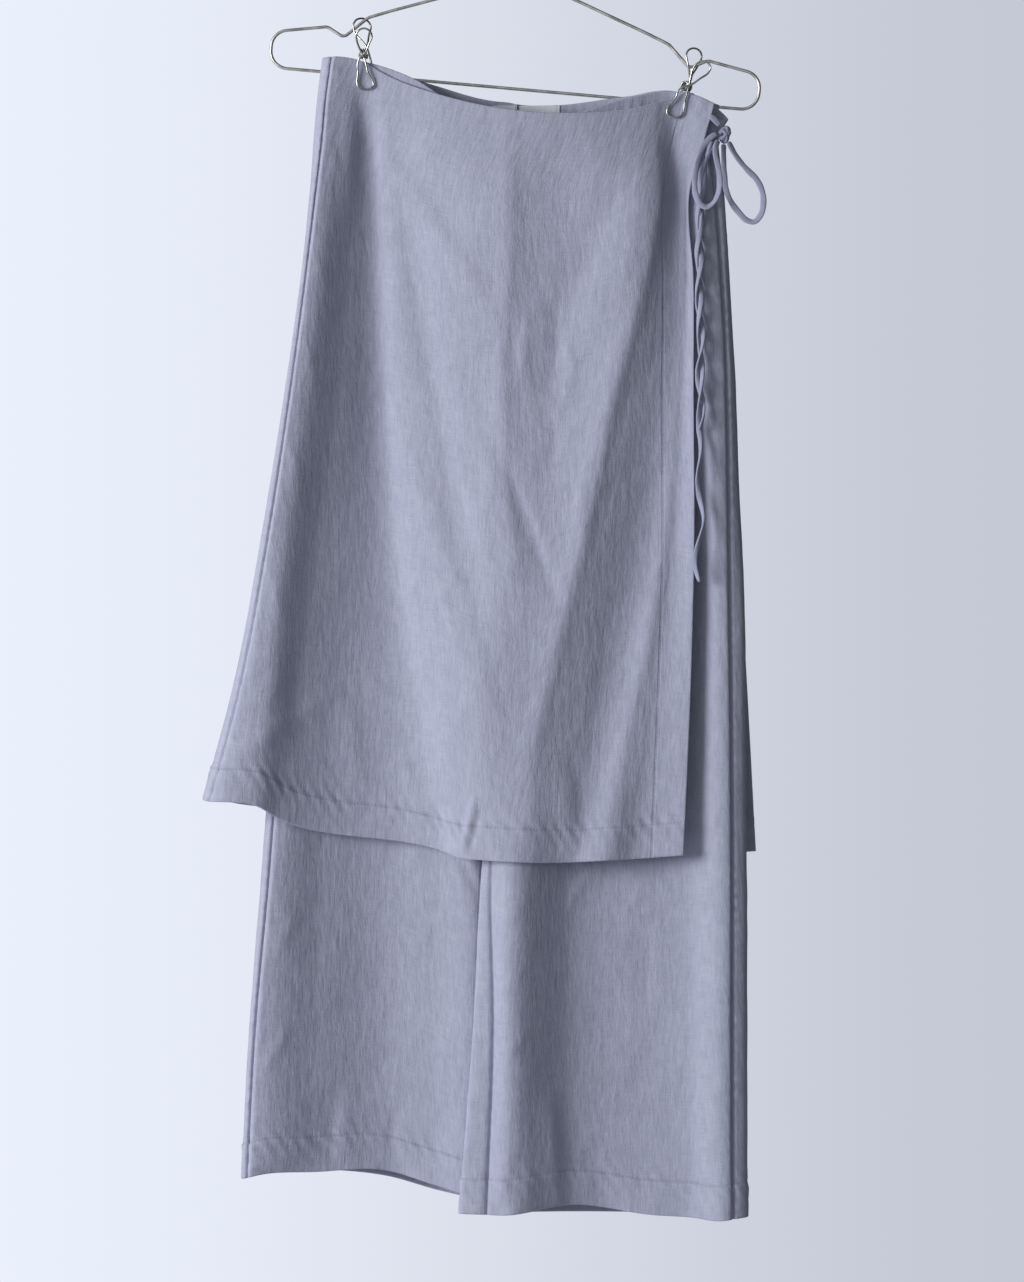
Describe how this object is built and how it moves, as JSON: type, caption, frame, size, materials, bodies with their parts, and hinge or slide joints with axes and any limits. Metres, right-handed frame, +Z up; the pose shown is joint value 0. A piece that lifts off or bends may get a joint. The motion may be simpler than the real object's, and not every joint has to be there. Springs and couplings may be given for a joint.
{
  "type": "wrap culottes on a wire clip hanger",
  "caption": "Wide cropped trousers under a wrap overskirt tied in a bow at one side, hung by the waist from a wire hanger with sprung wire clips.",
  "frame": {"origin": "the point where the inner top of the hanger's hook rests on its support", "axes": "+Z up, +X to the viewer's right when the garment's front faces the viewer, -Y out of the garment's front"},
  "size_m": [0.4493, 0.1052, 1.0761],
  "materials": {
    "cloth": "matt slubby plain weave",
    "tape": "matt turned tape",
    "label": "smooth woven label",
    "wire": "bright drawn stainless wire"
  },
  "bodies": {
    "root": {"culotte_front_right": "cloth", "culotte_back_right": "cloth", "culotte_front_left": "cloth", "culotte_back_left": "cloth", "overskirt_front": "cloth", "overskirt_back": "cloth", "waist_label": "label", "tie_front_root": "tape", "tie_back_root": "tape", "tie_knot": "tape", "tie_left_loop": "tape", "tie_right_loop": "tape", "tie_long_tail": "tape", "tie_short_tail": "tape", "hanger": "wire", "clip_left_front_lever": "wire", "clip_left_back_lever": "wire", "clip_left_coil": "wire", "clip_right_front_lever": "wire", "clip_right_back_lever": "wire", "clip_right_coil": "wire"}
  },
  "joints": []
}
